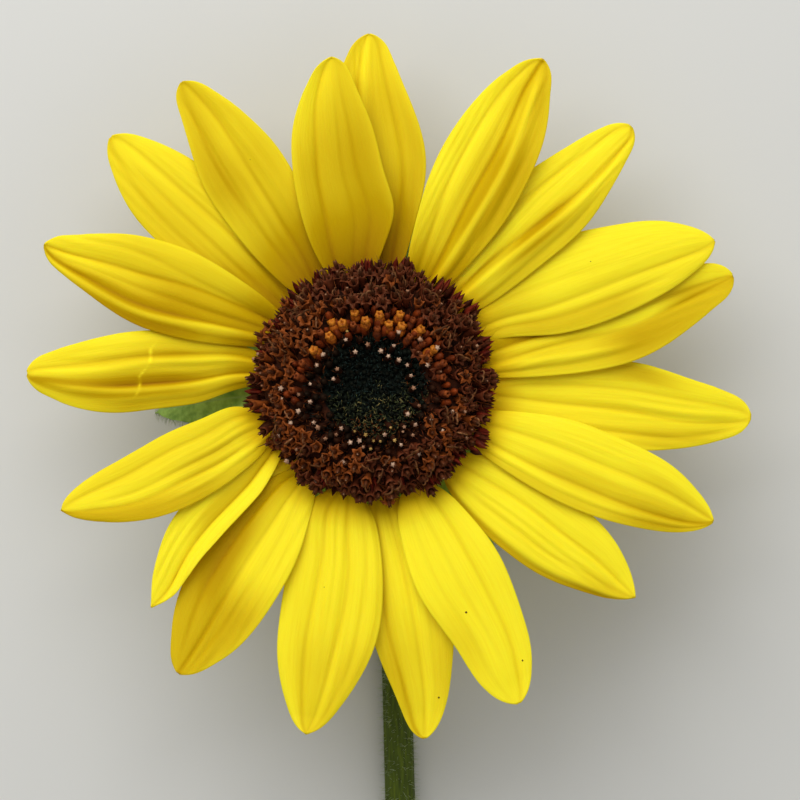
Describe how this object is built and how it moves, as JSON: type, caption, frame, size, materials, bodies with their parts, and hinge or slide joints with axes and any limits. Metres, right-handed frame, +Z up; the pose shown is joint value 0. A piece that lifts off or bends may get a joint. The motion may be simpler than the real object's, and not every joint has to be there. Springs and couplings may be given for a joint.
{
  "type": "cut sunflower bloom on its stem",
  "caption": "Cut sunflower bloom lying face up on its bent stem: pointed yellow rays, a maroon-brown disc with a green-black middle, and green bracts behind.",
  "frame": {"origin": "on the floor, under the middle of the bounding box", "axes": "+Z up from the floor that the bloom lies on, the way its disc roughly faces; +Y from the stem's cut end towards the bloom; +X to the right with the stem's end nearest"},
  "size_m": [0.1198, 0.1544, 0.041],
  "materials": {
    "ray_yellow": "satin, finely ridged along its length",
    "floret_maroon": "matt, velvety",
    "eye_green_black": "matt, finely fuzzy",
    "bract_green": "matt, short stiff hairs",
    "stem_green": "matt, stiff pale hairs"
  },
  "bodies": {
    "root": {"stem": "stem_green", "neck": "stem_green", "receptacle": "bract_green", "disc_centre": "eye_green_black", "floret_ring": "floret_maroon", "ray_01": "ray_yellow", "ray_02": "ray_yellow", "ray_03": "ray_yellow", "ray_04": "ray_yellow", "ray_05": "ray_yellow", "ray_06": "ray_yellow", "ray_07": "ray_yellow", "ray_08": "ray_yellow", "ray_09": "ray_yellow", "ray_10": "ray_yellow", "ray_11": "ray_yellow", "ray_12": "ray_yellow", "ray_13": "ray_yellow", "ray_14": "ray_yellow", "ray_15": "ray_yellow", "ray_16": "ray_yellow", "ray_17": "ray_yellow", "ray_18": "ray_yellow", "ray_19": "ray_yellow", "ray_20": "ray_yellow", "bract_01": "bract_green", "bract_02": "bract_green", "bract_03": "bract_green", "bract_04": "bract_green", "bract_05": "bract_green", "bract_06": "bract_green", "bract_07": "bract_green", "bract_08": "bract_green", "bract_09": "bract_green", "bract_10": "bract_green", "bract_11": "bract_green", "bract_12": "bract_green", "bract_13": "bract_green", "bract_14": "bract_green", "bract_15": "bract_green", "bract_16": "bract_green", "bract_17": "bract_green", "bract_18": "bract_green"}
  },
  "joints": []
}
